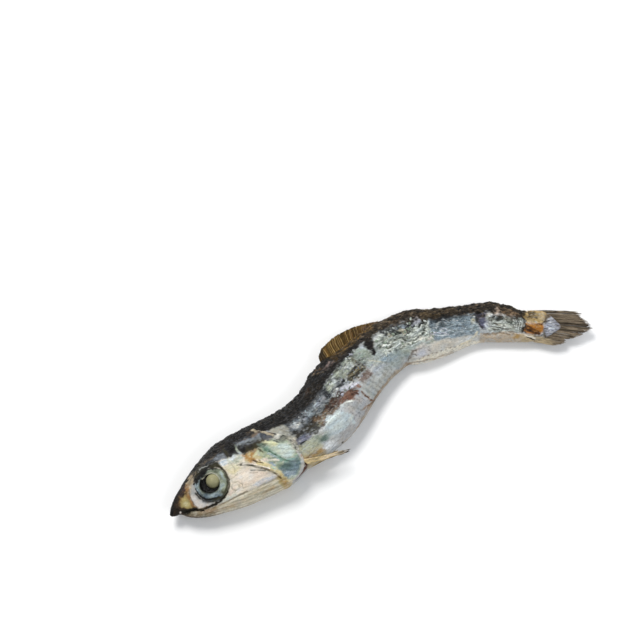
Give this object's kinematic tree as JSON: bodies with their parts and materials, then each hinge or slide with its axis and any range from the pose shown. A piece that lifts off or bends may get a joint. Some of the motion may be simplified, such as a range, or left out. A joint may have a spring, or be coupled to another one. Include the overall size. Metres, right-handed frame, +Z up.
{
  "type": "dried small fish",
  "caption": "Small whole anchovy, dried hard: bent body lying on one flank, sunken ringed eyes, folded back fin and ragged tail.",
  "frame": {"origin": "under the middle of the fish's box, on the surface that it lies on", "axes": "+X from head to tail, +Y towards the fish's back, +Z up, out of its left flank"},
  "size_m": [0.095, 0.026, 0.0083],
  "materials": {
    "dried_skin": "dried silver skin, dark brown back, satin"
  },
  "bodies": {
    "root": {"dried_fish": "dried_skin"}
  },
  "joints": []
}
